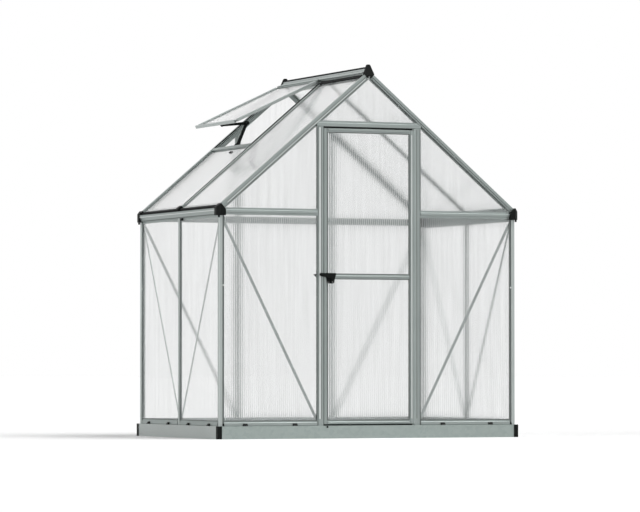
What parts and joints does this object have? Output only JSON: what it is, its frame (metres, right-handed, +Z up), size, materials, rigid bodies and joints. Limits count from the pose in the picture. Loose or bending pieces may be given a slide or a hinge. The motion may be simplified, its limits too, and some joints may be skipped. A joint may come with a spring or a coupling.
{
  "type": "greenhouse",
  "caption": "Small aluminium-framed garden greenhouse with twin-wall panels, a hinged front door with a turning latch, and a top-hung roof vent on a folding stay.",
  "frame": {"origin": "on the ground, under the middle of the base", "axes": "+Z up, +X to the right when facing the door from outside, +Y from the door wall to the back wall"},
  "size_m": [1.856, 1.27, 2.104],
  "materials": {
    "frame_aluminium": "satin mill finish",
    "base_steel": "galvanised sheet",
    "black_plastic": "moulded black",
    "twin_wall_panel": "clear fluted sheet",
    "seal_rubber": "extruded strip",
    "bolt_steel": "plated"
  },
  "bodies": {
    "frame": {"corner_post_front_left": "frame_aluminium", "corner_post_front_right": "frame_aluminium", "corner_post_back_left": "frame_aluminium", "corner_post_back_right": "frame_aluminium", "side_post_left": "frame_aluminium", "side_post_right": "frame_aluminium", "back_post_left": "frame_aluminium", "back_post_right": "frame_aluminium", "door_jamb_latch_side": "frame_aluminium", "door_jamb_hinge_side": "frame_aluminium", "door_header": "frame_aluminium", "bottom_rails_ends": "frame_aluminium", "bottom_rails_sides": "frame_aluminium", "end_wall_tie_bars": "frame_aluminium", "gutter_left": "frame_aluminium", "gutter_right": "frame_aluminium", "wall_braces": "frame_aluminium", "rafter_front_left": "frame_aluminium", "rafter_front_right": "frame_aluminium", "rafter_back_left": "frame_aluminium", "rafter_back_right": "frame_aluminium", "rafter_mid_left": "frame_aluminium", "rafter_mid_right": "frame_aluminium", "ridge_beam": "frame_aluminium", "vent_sill": "frame_aluminium", "base_rail_front": "base_steel", "base_rail_back": "base_steel", "base_rail_left": "base_steel", "base_rail_right": "base_steel", "base_corner_caps": "black_plastic", "panel_clips": "black_plastic", "ridge_end_caps": "black_plastic", "eave_corner_caps": "black_plastic", "rafter_foot_caps": "black_plastic", "latch_keeper": "black_plastic", "sill_stay_bracket": "black_plastic", "front_panels": "twin_wall_panel", "back_panels": "twin_wall_panel", "side_panels_left": "twin_wall_panel", "side_panels_right": "twin_wall_panel", "roof_panels_left": "twin_wall_panel", "roof_panels_right": "twin_wall_panel", "eave_seals": "seal_rubber", "weather_strips": "seal_rubber", "brace_bolts": "bolt_steel"},
    "door": {"door_stile_latch_side": "frame_aluminium", "door_stile_hinge_side": "frame_aluminium", "door_top_rail": "frame_aluminium", "door_mid_rail": "frame_aluminium", "door_bottom_rail": "frame_aluminium", "door_panes": "twin_wall_panel", "latch_plate": "black_plastic"},
    "latch": {"latch_lever": "black_plastic", "latch_cam": "black_plastic"},
    "vent": {"vent_hinge_rail": "frame_aluminium", "vent_frame_rails": "frame_aluminium", "vent_pane": "twin_wall_panel", "vent_stay_bracket": "black_plastic"},
    "stay_lower": {"stay_lower_arm": "black_plastic"},
    "stay_upper": {"stay_upper_arm": "black_plastic"}
  },
  "joints": [
    {"name": "door_swing", "type": "hinge", "parent": "frame", "child": "door", "pos_m": [0.2755, -0.61, 0.9], "axis": [0, 0, 1], "range_deg": [0, 110]},
    {"name": "latch_turn", "type": "hinge", "parent": "door", "child": "latch", "pos_m": [-0.228, -0.613, 0.9075], "axis": [0, 1, 0], "range_deg": [0, 90]},
    {"name": "vent_hinge", "type": "hinge", "parent": "frame", "child": "vent", "pos_m": [-0.03153, 0.3005, 2.05673], "axis": [0, 1, 0], "range_deg": [-15, 0]},
    {"name": "stay_lower_turn", "type": "hinge", "parent": "frame", "child": "stay_lower", "pos_m": [-0.41804, 0.3005, 1.693], "axis": [0, -1, 0], "range_deg": [-23, 0]},
    {"name": "stay_knee_turn", "type": "hinge", "parent": "stay_lower", "child": "stay_upper", "pos_m": [-0.36527, 0.3005, 1.81617], "axis": [0, 1, 0], "range_deg": [-59.5, 0]}
  ],
  "couplings": [
    {"joint": "stay_lower_turn", "follows": "vent_hinge", "ratio": 1.5036},
    {"joint": "stay_knee_turn", "follows": "vent_hinge", "ratio": 3.922}
  ]
}
